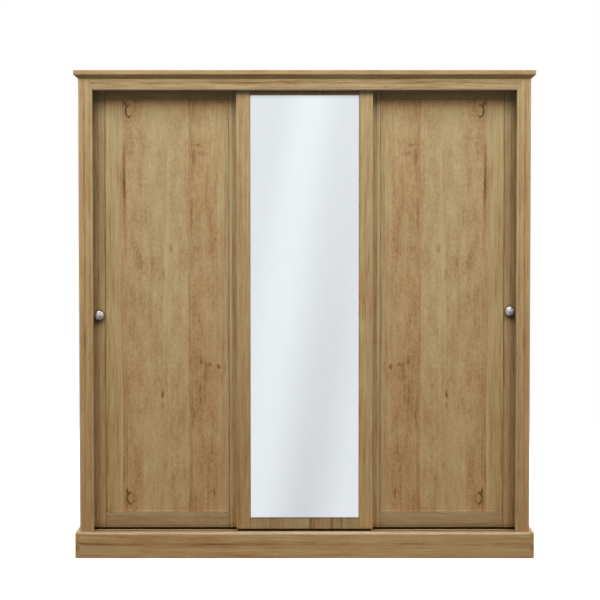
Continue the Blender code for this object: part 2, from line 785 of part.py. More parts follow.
def make_mirror_door():
    """The centre door: a frame round a mirror with a board behind it."""
    door = "mirror_door"
    low_x, high_x = -HALF_MIRROR_DOOR, HALF_MIRROR_DOOR
    parent = add_axis(door + "_slide", (0, FRONT_LANE, DOOR_BOTTOM))
    rails = make_door_frame(
        door, low_x, high_x, FRONT_LANE, MIRROR_STILE_WIDTH, MIRROR_RAIL_HEIGHT, parent
    )
    half = HALF_MIRROR_DOOR - MIRROR_STILE_WIDTH - GAP
    bottom = DOOR_BOTTOM + MIRROR_RAIL_HEIGHT + GAP
    top = DOOR_TOP - MIRROR_RAIL_HEIGHT - GAP
    glass_front = FRONT_LANE - DOOR_THICKNESS / 2 + MIRROR_INSET
    glass_back = glass_front + MIRROR_THICKNESS
    backing_back = FRONT_LANE + DOOR_THICKNESS / 2 - BACKING_INSET
    board(
        "mirror",
        (-half, glass_front, bottom),
        (half, glass_back, top),
        MIRROR,
        parent,
        edge=MIRROR_THICKNESS / 8,
    )
    board(
        "mirror_backing",
        (-half, glass_back + GAP, bottom),
        (half, backing_back, top),
        parent=parent,
    )
    fit_door(door, low_x, high_x, MIRROR_STILE_WIDTH, FRONT_LANE, rails, parent)


# ---------------------------------------------------------------- assembly

for word, side in SIDES:
    make_side_panel(word, side)
    make_face_stile(word, side)
make_bottom_panel()
make_back_panel()
make_interior()
make_hanging_rails()
make_face_top_rail()
make_cornice()
make_plinth()
make_lower_track("front", FRONT_LANE)
make_lower_track("rear", REAR_LANE)
make_upper_track()
make_panel_door("left", -1, LEFT_KNOB_HEIGHT)
make_panel_door("right", 1, RIGHT_KNOB_HEIGHT)
make_mirror_door()
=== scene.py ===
"""Looks of the three-door sliding wardrobe: oak-effect boards, a tall mirror, nickel knobs.

Metres, +Z up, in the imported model's frame. The wardrobe faces -Y.
"""

import random
from math import cos, pi, radians, sin

import bmesh
import bpy
from mathutils import Matrix, Vector


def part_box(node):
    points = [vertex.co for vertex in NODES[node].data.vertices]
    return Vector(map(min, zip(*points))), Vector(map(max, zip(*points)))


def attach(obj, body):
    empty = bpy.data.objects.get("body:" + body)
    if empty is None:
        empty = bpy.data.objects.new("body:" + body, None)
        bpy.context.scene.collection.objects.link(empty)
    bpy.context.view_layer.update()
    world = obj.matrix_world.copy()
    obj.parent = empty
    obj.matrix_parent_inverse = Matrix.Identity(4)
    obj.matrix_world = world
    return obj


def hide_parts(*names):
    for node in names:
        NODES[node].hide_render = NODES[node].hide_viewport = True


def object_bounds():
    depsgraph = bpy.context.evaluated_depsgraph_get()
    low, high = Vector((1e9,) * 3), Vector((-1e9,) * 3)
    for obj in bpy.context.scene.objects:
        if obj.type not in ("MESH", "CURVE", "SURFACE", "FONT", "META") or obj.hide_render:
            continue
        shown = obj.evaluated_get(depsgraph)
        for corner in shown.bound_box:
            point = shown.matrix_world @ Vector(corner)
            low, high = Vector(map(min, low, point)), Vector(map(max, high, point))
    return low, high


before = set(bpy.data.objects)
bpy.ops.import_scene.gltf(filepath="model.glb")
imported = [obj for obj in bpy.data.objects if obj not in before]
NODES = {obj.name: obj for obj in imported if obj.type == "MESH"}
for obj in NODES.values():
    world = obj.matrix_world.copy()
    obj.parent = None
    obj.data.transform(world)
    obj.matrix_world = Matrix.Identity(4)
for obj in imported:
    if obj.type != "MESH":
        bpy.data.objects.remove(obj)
cad_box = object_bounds()

# ---------------------------------------------------------------- view of the photograph

CAMERA_DISTANCE = 8.5  # from the lens to the foremost face of the wardrobe
CAMERA_HEIGHT = 1.409
CAMERA_PITCH = 2.616  # degrees below the horizon
CAMERA_LENS = 130.04
SENSOR = 36.0
CAMERA_SHIFT = -0.0077

# ---------------------------------------------------------------- light

WHITE_WORLD = 1.0
AMBIENT = 0.15  # share of the white world that lights matt surfaces
MIRROR_GREY = (0.790, 0.823, 0.850)  # what glossy surfaces see all round
KEY_PLACE = (2.25, -3.7, 5.5)  # of the right one of the two large lamps over the front
KEY_TARGET = (0.95, -0.3, 2.15)
KEY_SIZE = (2.9, 3.4)
KEY_POWER = 46.0
KEY_SPREAD = radians(72)  # narrow, so that each lamp lights mostly its own side
REAR_FILL_PLACE, REAR_FILL_SIZE, REAR_FILL_POWER = (0.0, 6.0, 4.2), (5.0, 2.0), 320.0
SIDE_FILL_PLACE, SIDE_FILL_SIZE, SIDE_FILL_POWER = (6.0, 2.4, 3.0), (2.5, 2.5), 190.0
FILL_TARGET = (0, 0, 0.9)

# ---------------------------------------------------------------- oak-effect foil

# Linear colours from the darkest knot to the palest straw.
OAK_STOPS = (
    (0.00, (0.125, 0.060, 0.020)),
    (0.22, (0.303, 0.172, 0.068)),
    (0.42, (0.396, 0.261, 0.122)),
    (0.55, (0.438, 0.310, 0.154)),
    (0.75, (0.488, 0.368, 0.194)),
    (1.00, (0.552, 0.440, 0.256)),
)
PINKISH = (1.045, 0.985, 0.95)
GREENISH = (0.98, 1.03, 0.98)
TOP_LIGHT_TINT, FOOT_SHADE_TINT = (1.0, 1.0, 0.98), (1.03, 0.92, 0.80)  # painted shade: the foil is painted warmer and darker downwards, as the light falls off
# painted highlight: the paler colour of lit edges
EDGE_HIGHLIGHT_COLOR = (0.66, 0.61, 0.47)
# painted shade, and the dark of joints
SHADE_AND_GRIME = (0.36, 0.24, 0.15)
PANEL_HEAD_PAINTED_LIGHT = (1.45, 1.26, 1.12)  # painted light over the fascia's shadow, close under the panels' top rail
DRIFT_TOP, DRIFT_FOOT = 1.75, 0.10  # heights between which the painted shade warms and darkens the foil

# Noise, in cycles for each metre across and along the grain.
BROAD_GRAIN = (20.0, 1.3)
MIDDLE_GRAIN = (85.0, 2.8)
FINE_GRAIN = (230.0, 9.0)
PORES = (1300.0, 34.0)
ARCHES = (9.0, 0.9)
HUE_GRAIN = (11.0, 3.2)
CLOUDS = (26.0, 26.0, 9.0)
FLECKS = (190.0, 190.0, 100.0)
WAVER = (7.0, 7.0, 1.5)
RAGGED_SEAM = (8.0, 8.0, 3.0)
KNOT_FRAY = (150.0, 150.0, 90.0)
KNOT_CELLS = (9.0, 9.0, 1.7)

# How far each of them moves the tone, of a range of 1 from the darkest stop to the palest.
BROAD_SWAY, MIDDLE_SWAY, FINE_SWAY = 0.60, 0.80, 0.95
CLOUD_SWAY, FLECK_SWAY, ARCH_SWAY = 0.85, 0.78, 0.018
BASE_TONE = 0.03
PORE_DARKENING, KNOT_DARKENING = -0.10, -0.42

# The figure of the door panels, on the left door: (across, up, half width, half height, strength).
# A strength of 1 makes an open swirl, less a solid dark mark, and below 0 a paler patch.
PANEL_KNOTS = (
    (-0.694, 1.763, 0.0160, 0.0258, 1.0),
    (-0.363, 1.767, 0.0050, 0.0260, 0.8),
    (-0.425, 1.632, 0.0240, 0.0100, 0.55),
    (-0.438, 1.585, 0.0120, 0.0420, 0.55),
    (-0.405, 1.600, 0.0300, 0.0160, 0.45),
    (-0.367, 1.583, 0.0119, 0.0099, 0.45),
    (-0.448, 1.357, 0.0048, 0.1030, 0.6),
    (-0.536, 1.430, 0.0040, 0.0159, 0.5),
    (-0.419, 1.289, 0.0059, 0.0079, 0.4),
    (-0.532, 1.216, 0.0090, 0.0280, 0.8),
    (-0.559, 1.117, 0.0062, 0.0300, 0.75),
    (-0.567, 1.028, 0.0099, 0.0119, 0.5),
    (-0.436, 1.071, 0.0040, 0.0159, 0.45),
    (-0.459, 1.020, 0.0063, 0.1348, 0.4),
    (-0.646, 0.832, 0.0040, 0.0059, 0.4),
    (-0.446, 0.840, 0.0040, 0.0059, 0.4),
    (-0.340, 0.747, 0.0130, 0.0160, 0.99),
    (-0.411, 0.774, 0.0060, 0.0340, 0.8),
    (-0.379, 0.756, 0.0230, 0.0110, 0.7),
    (-0.565, 0.641, 0.0098, 0.0230, 0.99),
    (-0.565, 0.641, 0.0060, 0.0200, 0.45),
    (-0.563, 0.596, 0.0080, 0.0190, 0.95),
    (-0.439, 0.555, 0.0059, 0.0357, 0.6),
    (-0.552, 0.355, 0.0059, 0.0238, 0.6),
    (-0.694, 0.230, 0.0125, 0.0258, 1.0),
    (-0.360, 0.245, 0.0055, 0.0300, 0.8),
    (-0.368, 0.443, 0.0099, 0.0713, 0.35),
    (-0.715, 1.500, 0.0085, 0.2457, 0.75),
    (-0.530, 1.000, 0.0600, 0.3500, -0.30),
    (-0.770, 0.450, 0.0600, 0.5000, 0.40),
    (-0.680, 0.400, 0.0500, 0.4000, 0.28),
    (-0.430, 0.700, 0.0400, 0.6000, 0.20),
)
# The staves of the same panels: (where the stave starts, how light it is, how green it is, how
# straight its grain is; a stave with a low share is mottled instead).
PANEL_STAVES = (
    (-0.800, 0.05, 0.75, 0.95),
    (-0.721, -0.17, 0.1, 0.60),
    (-0.703, 0.01, 0.40, 0.05),
    (-0.640, 0.07, 0.60, 0.12),
    (-0.560, 0.12, 0.65, 0.45),
    (-0.533, 0.05, 0.60, 0.08),
    (-0.461, -0.10, 0.20, 0.55),
    (-0.444, -0.05, 0.25, 0.22),
    (-0.345, 0.02, 0.60, 0.50),
    (-0.318, 0.04, 0.80, 0.85),
)


class Look:
    """A material and short names for building its nodes."""

    def __init__(self, name):
        self.material = bpy.data.materials.new(name)
        self.material.use_nodes = True
        tree = self.material.node_tree
        self.nodes, self.links = tree.nodes, tree.links
        self.nodes.clear()
        self.shader = self.nodes.new("ShaderNodeBsdfPrincipled")
        output = self.nodes.new("ShaderNodeOutputMaterial")
        self.links.new(self.shader.outputs[0], output.inputs[0])

    def join(self, value, socket):
        if isinstance(value, bpy.types.NodeSocket):
            self.links.new(value, socket)
        elif value is not None:
            socket.default_value = value

    def surface(self, **values):
        """Sets the shader's sockets by name, with _ for a space."""
        for key, value in values.items():
            if isinstance(value, tuple) and len(value) == 3 and key != "Normal":
                value = (*value, 1.0)
            self.join(value, self.shader.inputs[key.replace("_", " ")])

    def place(self):
        return self.nodes.new("ShaderNodeTexCoord").outputs["Object"]

    def math(self, operation, a, b=None, c=None, clamp=False):
        node = self.nodes.new("ShaderNodeMath")
        node.operation, node.use_clamp = operation, clamp
        for value, socket in zip((a, b, c), node.inputs):
            self.join(value, socket)
        return node.outputs[0]

    def vector(self, operation, a, b=None, c=None):
        node = self.nodes.new("ShaderNodeVectorMath")
        node.operation = operation
        for value, socket in zip((a, b, c), node.inputs):
            self.join(value, socket)
        return node.outputs["Value" if operation in ("LENGTH", "DOT_PRODUCT") else 0]

    def parts(self, vector):
        node = self.nodes.new("ShaderNodeSeparateXYZ")
        self.join(vector, node.inputs[0])
        return node.outputs

    def whole(self, x, y, z):
        node = self.nodes.new("ShaderNodeCombineXYZ")
        for value, socket in zip((x, y, z), node.inputs):
            self.join(value, socket)
        return node.outputs[0]

    def noise(self, vector, detail=2.0, roughness=0.5, distortion=0.0):
        node = self.nodes.new("ShaderNodeTexNoise")
        self.join(vector, node.inputs["Vector"])
        node.inputs["Scale"].default_value = 1.0
        node.inputs["Detail"].default_value = detail
        node.inputs["Roughness"].default_value = roughness
        node.inputs["Distortion"].default_value = distortion
        return node.outputs["Fac"]

    def cells(self, vector, randomness=1.0):
        node = self.nodes.new("ShaderNodeTexVoronoi")
        self.join(vector, node.inputs["Vector"])
        node.inputs["Scale"].default_value = 1.0
        node.inputs["Randomness"].default_value = randomness
        return node.outputs["Distance"], node.outputs["Color"]

    def span(self, value, low, high, to_low=0.0, to_high=1.0, smooth=True):
        node = self.nodes.new("ShaderNodeMapRange")
        node.interpolation_type = "SMOOTHSTEP" if smooth else "LINEAR"
        for part, socket in zip((value, low, high, to_low, to_high), node.inputs):
            self.join(part, socket)
        return node.outputs[0]

    def ramp(self, value, stops, steps=False):
        node = self.nodes.new("ShaderNodeValToRGB")
        band = node.color_ramp
        band.interpolation = "CONSTANT" if steps else "LINEAR"
        while len(band.elements) < len(stops):
            band.elements.new(1.0)
        for element, (at, color) in zip(band.elements, stops):
            element.position, element.color = at, (*color, 1.0)
        self.join(value, node.inputs[0])
        return node.outputs[0]

    def mix(self, share, a, b, blend="MIX"):
        node = self.nodes.new("ShaderNodeMix")
        node.data_type, node.blend_type = "RGBA", blend
        for value, socket in ((share, 0), (a, 6), (b, 7)):
            if isinstance(value, tuple):
                value = (*value, 1.0)
            self.join(value, node.inputs[socket])
        return node.outputs[2]

    def bump(self, height, distance, strength=1.0):
        node = self.nodes.new("ShaderNodeBump")
        node.inputs["Strength"].default_value = strength
        node.inputs["Distance"].default_value = distance
        self.join(height, node.inputs["Height"])
        return node.outputs[0]


def flecked(look, point, sizes, detail=2.0):
    return look.noise(look.vector("MULTIPLY", point, sizes), detail)


def random_staves(seed, low, high, widths, contrast):
    """Staves of uneven width across a board, each with its own tone."""
    draw = random.Random(seed)
    staves, at = [], low
    while at < high and len(staves) < 30:
        staves.append((at, draw.uniform(-contrast, contrast), draw.uniform(0.1, 0.9)))
        at += draw.uniform(*widths)
    return staves


def oak(
    name, across, along, seed, staves, knots=(), flip=False, tone=0.0, wild=0.0, worn=(),
    shade=None, grime=(), handled=None,
):
    """Oak-effect foil. Its grain runs along one axis and its staves lie side by side across it.

    worn is (axis, place, reach, share): the foil is painted paler within reach of
    that place, a painted highlight. grime is the same, but darker, or multiplied
    by a colour of its own: painted shade, painted light and dark joints. shade multiplies the whole
    colour. handled is an ellipse darkened round a knob, a painted shadow.
    """
    look = Look(name)
    axes = dict(zip("XYZ", look.parts(look.place())))
    rest = next(letter for letter in "XYZ" if letter not in (across, along))
    u = look.math("MULTIPLY", axes[across], -1.0) if flip else axes[across]
    point = look.whole(u, axes[rest], axes[along])

    # staves
    low, high = staves[0][0] - 0.01, staves[-1][0] + 0.2
    stops = [(0.0, (0.5, 0.5, 0.5))]
    draw = random.Random(seed)
    for at, light, green, *straight in staves:
        share = min(1.0, max(0.0, (at - low) / (high - low)))
        stops.append((share, (0.5 + light, *(straight or [draw.uniform(0.35, 1.0)]), green)))
    ragged = look.noise(look.vector("MULTIPLY", point, RAGGED_SEAM), 1.0)
    edge = look.math("MULTIPLY_ADD", ragged, 0.004, u)
    stave = look.ramp(look.span(edge, low, high, smooth=False), stops[:32], steps=True)
    light, straight, green = look.parts(stave)

    # knots push the grain aside and darken it
    start = (seed * 0.731, seed * 0.317, seed * 1.913)
    sway = look.noise(look.vector("MULTIPLY_ADD", point, WAVER, start), 2.0)
    dark, push = 0.0, look.math("MULTIPLY_ADD", sway, 0.035, -0.0175)
    fray = look.whole(look.noise(look.vector("MULTIPLY", point, KNOT_FRAY)), 0.0, sway)
    astray = look.vector("MULTIPLY_ADD", fray, (0.006, 0.0, 0.03), (-0.003, 0.0, -0.015))
    rough_point = look.vector("ADD", point, astray)
    for x, z, half_width, half_height, strength in knots:
        scale = (1 / half_width, 0.0, 1 / half_height)
        shift = (-x / half_width, 0.0, -z / half_height)
        far = look.vector("LENGTH", look.vector("MULTIPLY_ADD", rough_point, scale, shift))
        if strength < 1.0:
            dark = look.math("MULTIPLY_ADD", look.span(far, 1.15, 0.0), strength, dark)
        else:  # a dark rim, darkest on the left, round a paler heart
            rim = look.span(look.math("ABSOLUTE", look.math("SUBTRACT", far, 0.9)), 0.38, 0.0)
            left = look.span(u, x - half_width * 0.4, x + half_width * 0.9, 1.15, 0.2)
            dark = look.math("MULTIPLY_ADD", rim, left, dark)
            above = (-x / half_width + 0.95, 0.0, -z / half_height - 1.05)
            spur = look.vector("LENGTH", look.vector("MULTIPLY_ADD", rough_point, scale, above))
            dark = look.math("MULTIPLY_ADD", look.span(spur, 0.55, 0.0), 1.1, dark)
            stain = look.span(far, 2.6, 0.6, 0.0, 0.22)
            dark = look.math("ADD", dark, stain)
        if strength > 0.8:
            aside = look.span(far, 3.2, 0.3, 0.0, half_width * 1.4)
            side = look.math("SIGN", look.math("SUBTRACT", u, x))
            push = look.math("MULTIPLY_ADD", look.math("MULTIPLY", aside, side), -1.0, push)
    if wild:
        spot, kind = look.cells(look.vector("MULTIPLY_ADD", rough_point, KNOT_CELLS, start))
        chosen = look.span(look.parts(kind)[0], 1.0 - wild, 1.0 - wild * 0.8)
        dark = look.math("MULTIPLY_ADD", look.span(spot, 0.13, 0.0), chosen, dark)

    grain = look.whole(
        look.math("ADD", look.parts(point)[0], push),
        look.parts(point)[1],
        look.math("MULTIPLY_ADD", straight, 3.7, look.parts(point)[2]),
    )

    def streaks(size, detail, roughness=0.55):
        scaled = look.vector("MULTIPLY_ADD", grain, (size[0], size[0], size[1]), start)
        return look.noise(scaled, detail, roughness)

    broad = streaks(BROAD_GRAIN, 3.0)
    middle = streaks(MIDDLE_GRAIN, 3.0)
    fine = streaks(FINE_GRAIN, 2.0)
    pores = streaks(PORES, 1.0)
    arches = look.math("SINE", look.math("MULTIPLY", streaks(ARCHES, 0.0), 95.0))

    clouds = flecked(look, rough_point, CLOUDS, 4.0)
    flecks = flecked(look, look.vector("ADD", rough_point, start), FLECKS, 3.0)
    streak_share = look.span(straight, 0.0, 0.9, 0.22, 1.0, smooth=False)
    cloud_share = look.span(straight, 0.0, 1.0, 1.0, 0.25, smooth=False)

    def sway_by(noise, amount):
        return look.math("MULTIPLY", look.math("SUBTRACT", noise, 0.5), amount)

    streaked = look.math("ADD", sway_by(middle, MIDDLE_SWAY), sway_by(fine, FINE_SWAY))
    streaked = look.math("ADD", streaked, sway_by(broad, BROAD_SWAY))
    mottled = look.math("ADD", sway_by(clouds, CLOUD_SWAY), sway_by(flecks, FLECK_SWAY))
    value = look.math("ADD", light, tone + BASE_TONE)
    value = look.math("MULTIPLY_ADD", streaked, streak_share, value)
    value = look.math("MULTIPLY_ADD", mottled, cloud_share, value)
    value = look.math("MULTIPLY_ADD", arches, ARCH_SWAY, value)
    dashes = look.span(pores, 0.62, 0.75)
    value = look.math("MULTIPLY_ADD", dashes, PORE_DARKENING, value)
    eye = look.math("MULTIPLY_ADD", fine, 0.4, 0.8)
    value = look.math("MULTIPLY_ADD", look.math("MULTIPLY", dark, eye), KNOT_DARKENING, value)
    color = look.ramp(value, OAK_STOPS)

    hue = look.math("MULTIPLY", streaks(HUE_GRAIN, 2.0), 0.8)
    hue = look.math("MULTIPLY_ADD", green, 0.6, hue)
    tint = look.mix(look.span(hue, 0.35, 1.0, smooth=False), PINKISH, GREENISH)
    color = look.mix(1.0, color, tint, "MULTIPLY")
    # painted shade: warmer and darker towards the floor
    painted_falloff = look.span(axes["Z"], DRIFT_TOP, DRIFT_FOOT, smooth=False)
    color = look.mix(1.0, color, look.mix(painted_falloff, TOP_LIGHT_TINT, FOOT_SHADE_TINT), "MULTIPLY")
    # painted highlights along edges, mottled by the grain
    for axis, place, reach, share in worn:
        off = look.math("ABSOLUTE", look.math("SUBTRACT", axes[axis], place))
        near = look.span(off, reach, reach * 0.3)
        highlight_share = look.math("MULTIPLY", near, look.span(middle, 0.2, 0.7, 0.6 * share, share))
        color = look.mix(highlight_share, color, EDGE_HIGHLIGHT_COLOR)
    # painted shade and painted light by places, and dark joints
    for axis, place, reach, share, *other in grime:
        off = look.math("ABSOLUTE", look.math("SUBTRACT", axes[axis], place))
        near = look.span(off, reach, 0.0, 0.0, share)
        color = look.mix(near, color, other[0] if other else SHADE_AND_GRIME, "MULTIPLY")
    # painted shadow round the knob
    if handled:
        x, z, half_width, half_height, share = handled
        far = look.vector(
            "LENGTH",
            look.whole(
                look.math("MULTIPLY_ADD", u, 1 / half_width, -x / half_width),
                0.0,
                look.math("MULTIPLY_ADD", axes["Z"], 1 / half_height, -z / half_height),
            ),
        )
        color = look.mix(look.span(far, 1.0, 0.45, 0.0, share), color, SHADE_AND_GRIME, "MULTIPLY")
    if shade:
        color = look.mix(1.0, color, shade, "MULTIPLY")

    relief = look.math("MULTIPLY_ADD", dashes, -1.0, look.math("MULTIPLY", fine, 0.5))
    look.surface(
        Base_Color=color,
        Roughness=look.span(middle, 0.25, 0.75, 0.50, 0.66, smooth=False),
        Specular_IOR_Level=0.32,
        Normal=look.bump(relief, 0.00012, 0.5),
    )
    return look.material


def brushed(name, color, along, roughness, metallic=1.0, depth=0.00002):
    """Metal with fine lines along one axis and faint marks from handling."""
    look = Look(name)
    sizes = [2500.0, 2500.0, 2500.0]
    sizes["XYZ".index(along)] = 12.0
    point = look.place()
    lines = flecked(look, point, tuple(sizes))
    marks = flecked(look, point, (60.0, 60.0, 60.0), 3.0)
    shade = look.math("MULTIPLY_ADD", marks, 0.10, 0.95)
    look.surface(
        Base_Color=look.mix(1.0, color, look.whole(shade, shade, shade), "MULTIPLY"),
        Metallic=metallic,
        Roughness=look.math("MULTIPLY_ADD", lines, 0.16, roughness - 0.08),
        Normal=look.bump(lines, depth, 0.6),
    )
    return look.material


def moulded(name, color, roughness, specks=0.12, shine=0.5):
    """Moulded plastic: a slightly uneven tone and a fine spark-eroded texture."""
    look = Look(name)
    point = look.place()
    mottle = flecked(look, point, (40.0, 40.0, 40.0), 3.0)
    texture = flecked(look, point, (1800.0, 1800.0, 1800.0), 1.0)
    shade = look.math("MULTIPLY_ADD", mottle, specks * 2, 1.0 - specks)
    look.surface(
        Base_Color=look.mix(1.0, color, look.whole(shade, shade, shade), "MULTIPLY"),
        Roughness=look.math("MULTIPLY_ADD", texture, 0.2, roughness - 0.1),
        Specular_IOR_Level=shine,
        Normal=look.bump(texture, 0.00003, 0.5),
    )
    return look.material


def hardboard(name):
    """The back panel: printed foil inside, raw pressed fibre outside."""
    look = Look(name)
    point = look.place()
    x, y, z = look.parts(point)
    fibre = look.noise(look.vector("MULTIPLY", point, (210.0, 900.0, 190.0)), 6.0, 0.8)
    cloud = look.noise(look.vector("MULTIPLY", point, (5.0, 5.0, 4.0)), 3.0)
    value = look.math("MULTIPLY_ADD", fibre, 0.80, look.math("MULTIPLY", cloud, 0.20))
    raw = look.ramp(
        value,
        (
            (0.30, (0.150, 0.085, 0.042)),
            (0.50, (0.250, 0.155, 0.082)),
            (0.70, (0.350, 0.230, 0.130)),
        ),
    )
    streak = look.noise(look.vector("MULTIPLY", point, (70.0, 70.0, 2.5)), 3.0)
    foil = look.ramp(streak, ((0.3, (0.36, 0.235, 0.112)), (0.7, (0.50, 0.365, 0.20))))
    low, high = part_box("back_panel")
    outside = look.span(y, (low.y + high.y) / 2, (low.y + high.y) / 2 + 0.0002)
    look.surface(
        Base_Color=look.mix(outside, foil, raw),
        Roughness=look.math("MULTIPLY_ADD", outside, 0.22, 0.58),
        Specular_IOR_Level=0.25,
        Normal=look.bump(look.math("MULTIPLY", fibre, outside), 0.0003, 0.5),
    )
    return look.material


def silvered(name):
    """Mirror glass: a clean silver with very faint wipe marks, and painted shade along its top."""
    look = Look(name)
    point = look.place()
    wipes = look.noise(look.vector("MULTIPLY", point, (9.0, 9.0, 4.0)), 3.0, 0.6, 1.2)
    dust = look.noise(look.vector("MULTIPLY", point, (700.0, 700.0, 700.0)), 1.0)
    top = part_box("mirror")[1].z
    # painted shade along the mirror's top edge, under the frame
    painted_top_shade = look.span(look.parts(point)[2], top, top - 0.020, 0.80, 1.0)
    shade = look.math("MULTIPLY", look.span(wipes, 0.2, 0.8, 0.955, 0.975), painted_top_shade)
    look.surface(
        Base_Color=look.whole(look.math("MULTIPLY", shade, 0.995), shade, shade),
        Metallic=1.0,
        Roughness=look.math("MULTIPLY_ADD", look.span(dust, 0.62, 0.8), 0.03, 0.012),
    )
    return look.material


def ground_edge(name):
    """The ground and greenish edge of the mirror glass."""
    look = Look(name)
    grind = look.noise(look.vector("MULTIPLY", look.place(), (1200.0, 1200.0, 1200.0)), 2.0)
    look.surface(
        Base_Color=look.ramp(grind, ((0.3, (0.50, 0.58, 0.56)), (0.7, (0.72, 0.78, 0.76)))),
        Roughness=look.math("MULTIPLY_ADD", grind, 0.2, 0.12),
        Metallic=0.6,
        Normal=look.bump(grind, 0.00003, 0.4),
    )
    return look.material


# ---------------------------------------------------------------- oak for each board


def box_middle(node):
    low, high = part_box(node)
    return low, high, (low + high) / 2


def dress(node, material):
    slots = NODES[node].data.materials
    for index in range(len(slots)):
        slots[index] = material


STAVE_AXIS = {"X": 0, "Y": 1, "Z": 2}


def dress_board(
    node, across, along, seed, widths=(0.05, 0.14), contrast=0.09, figure=None, **more
):
    """One board in its own cut of the oak-effect foil, with a figure of its own if one is given."""
    low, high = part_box(node)
    axis = STAVE_AXIS[across]
    ends = low[axis], high[axis]
    if more.get("flip"):
        ends = -high[axis], -low[axis]
    staves = random_staves(seed, ends[0] - 0.02, ends[1] + 0.02, widths, contrast)
    if figure:
        wide = ends[1] - ends[0]
        staves = [(ends[0] + share * wide, *tones) for share, *tones in figure]
    dress(node, oak("oak_" + node, across, along, seed, staves, **more))


# Figures of single boards: the share of the board's width where a stave starts, then how light,
# how green and how straight it is.
FACE_STILE_FIGURE = (
    (-0.10, 0.04, 0.60, 0.60),
    (0.20, -0.02, 0.40, 0.80),
    (0.36, -0.17, 0.05, 0.90),
    (0.50, 0.02, 0.50, 0.70),
    (0.80, -0.08, 0.15, 0.90),
    (0.86, 0.12, 0.60, 0.70),
)
FASCIA_FIGURE = (
    (-0.10, 0.05, 0.60, 0.80),
    (0.10, -0.08, 0.20, 0.90),
    (0.22, 0.02, 0.50, 0.80),
    (0.38, -0.08, 0.30, 0.90),
    (0.45, -0.19, 0.08, 0.90),
    (0.54, -0.06, 0.30, 0.90),
    (0.64, 0.02, 0.50, 0.80),
)
PLINTH_FIGURE = (
    (-0.10, -0.07, 0.30, 0.80),
    (0.12, 0.03, 0.50, 0.70),
    (0.40, -0.02, 0.40, 0.70),
    (0.50, -0.16, 0.15, 0.80),
    (0.62, 0.00, 0.50, 0.70),
    (0.72, 0.04, 0.60, 0.70),
)
MIRROR_RAIL_FIGURE = (
    (-0.10, 0.00, 0.40, 0.80),
    (0.16, -0.08, 0.20, 0.90),
    (0.22, 0.02, 0.40, 0.80),
    (0.34, 0.05, 0.50, 0.80),
    (0.545, -0.26, 0.05, 0.90),
    (0.60, -0.06, 0.30, 0.80),
    (0.68, 0.02, 0.30, 0.80),
    (0.74, -0.22, 0.10, 0.90),
    (0.77, 0.04, 0.40, 0.80),
    (0.83, -0.24, 0.10, 0.90),
    (0.86, 0.05, 0.50, 0.80),
    (0.92, -0.08, 0.20, 0.90),
    (0.94, 0.04, 0.50, 0.80),
)
OUTER_STILE_FIGURE = (
    (-0.10, -0.04, 0.50, 0.70),
    (0.30, 0.02, 0.40, 0.80),
    (0.48, -0.10, 0.20, 0.90),
    (0.58, 0.14, 0.60, 0.80),
    (0.92, 0.04, 0.40, 0.80),
)
